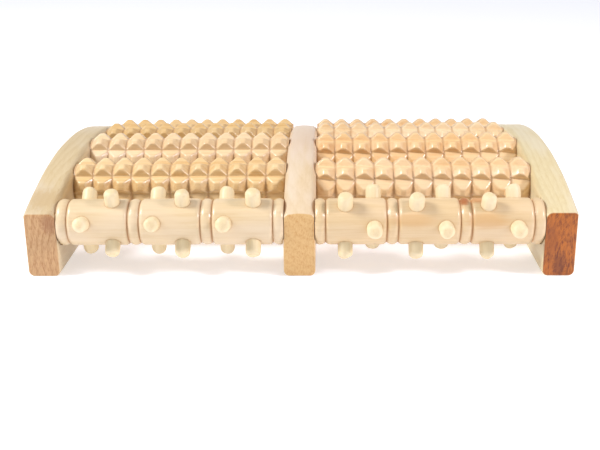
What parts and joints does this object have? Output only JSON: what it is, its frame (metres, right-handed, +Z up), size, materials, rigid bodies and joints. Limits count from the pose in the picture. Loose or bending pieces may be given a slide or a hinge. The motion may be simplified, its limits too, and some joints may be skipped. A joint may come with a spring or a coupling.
{
  "type": "foot massage roller",
  "caption": "Wooden foot massager: three arched rails carry free-turning rollers on steel rods, knobbed rollers behind and peg-studded rollers in front.",
  "frame": {"origin": "middle of the centre rail's underside, on the floor", "axes": "+X to the user's right along the axle rods, -Y towards the user and the peg rollers, +Z up"},
  "size_m": [0.28, 0.202, 0.0524],
  "materials": {
    "rail_wood": "satin varnish",
    "knobbed_roller_wood": "satin-gloss varnish",
    "peg_roller_wood": "satin varnish",
    "peg_wood": "satin-gloss varnish",
    "axle_steel": "drawn steel rod"
  },
  "bodies": {
    "frame": {"left_rail": "rail_wood", "centre_rail": "rail_wood", "right_rail": "rail_wood", "axle_rod_1": "axle_steel", "axle_rod_2": "axle_steel", "axle_rod_3": "axle_steel", "axle_rod_4": "axle_steel", "axle_rod_5": "axle_steel"},
    "left_roller_1": {"left_peg_roller": "peg_roller_wood", "left_peg_roller_pegs_1": "peg_wood", "left_peg_roller_pegs_2": "peg_wood", "left_peg_roller_pegs_3": "peg_wood", "left_peg_roller_pegs_4": "peg_wood", "left_peg_roller_pegs_5": "peg_wood", "left_peg_roller_pegs_6": "peg_wood"},
    "left_roller_2": {"left_knobbed_roller_2": "knobbed_roller_wood"},
    "left_roller_3": {"left_knobbed_roller_3": "knobbed_roller_wood"},
    "left_roller_4": {"left_knobbed_roller_4": "knobbed_roller_wood"},
    "left_roller_5": {"left_knobbed_roller_5": "knobbed_roller_wood"},
    "right_roller_1": {"right_peg_roller": "peg_roller_wood", "right_peg_roller_pegs_1": "peg_wood", "right_peg_roller_pegs_2": "peg_wood", "right_peg_roller_pegs_3": "peg_wood", "right_peg_roller_pegs_4": "peg_wood", "right_peg_roller_pegs_5": "peg_wood", "right_peg_roller_pegs_6": "peg_wood"},
    "right_roller_2": {"right_knobbed_roller_2": "knobbed_roller_wood"},
    "right_roller_3": {"right_knobbed_roller_3": "knobbed_roller_wood"},
    "right_roller_4": {"right_knobbed_roller_4": "knobbed_roller_wood"},
    "right_roller_5": {"right_knobbed_roller_5": "knobbed_roller_wood"}
  },
  "joints": [
    {"name": "left_roller_1_spin", "type": "hinge", "parent": "frame", "child": "left_roller_1", "pos_m": [-0.06588, -0.0834, 0.0262], "axis": [1, 0, 0], "continuous": true},
    {"name": "right_roller_1_spin", "type": "hinge", "parent": "frame", "child": "right_roller_1", "pos_m": [0.06588, -0.0834, 0.0262], "axis": [1, 0, 0], "continuous": true},
    {"name": "left_roller_2_spin", "type": "hinge", "parent": "frame", "child": "left_roller_2", "pos_m": [-0.06588, -0.0417, 0.0335], "axis": [1, 0, 0], "continuous": true},
    {"name": "right_roller_2_spin", "type": "hinge", "parent": "frame", "child": "right_roller_2", "pos_m": [0.06588, -0.0417, 0.0335], "axis": [1, 0, 0], "continuous": true},
    {"name": "left_roller_3_spin", "type": "hinge", "parent": "frame", "child": "left_roller_3", "pos_m": [-0.06588, 0, 0.0372], "axis": [1, 0, 0], "continuous": true},
    {"name": "right_roller_3_spin", "type": "hinge", "parent": "frame", "child": "right_roller_3", "pos_m": [0.06588, 0, 0.0372], "axis": [1, 0, 0], "continuous": true},
    {"name": "left_roller_4_spin", "type": "hinge", "parent": "frame", "child": "left_roller_4", "pos_m": [-0.06588, 0.0417, 0.0335], "axis": [1, 0, 0], "continuous": true},
    {"name": "right_roller_4_spin", "type": "hinge", "parent": "frame", "child": "right_roller_4", "pos_m": [0.06588, 0.0417, 0.0335], "axis": [1, 0, 0], "continuous": true},
    {"name": "left_roller_5_spin", "type": "hinge", "parent": "frame", "child": "left_roller_5", "pos_m": [-0.06588, 0.0834, 0.0262], "axis": [1, 0, 0], "continuous": true},
    {"name": "right_roller_5_spin", "type": "hinge", "parent": "frame", "child": "right_roller_5", "pos_m": [0.06588, 0.0834, 0.0262], "axis": [1, 0, 0], "continuous": true}
  ]
}
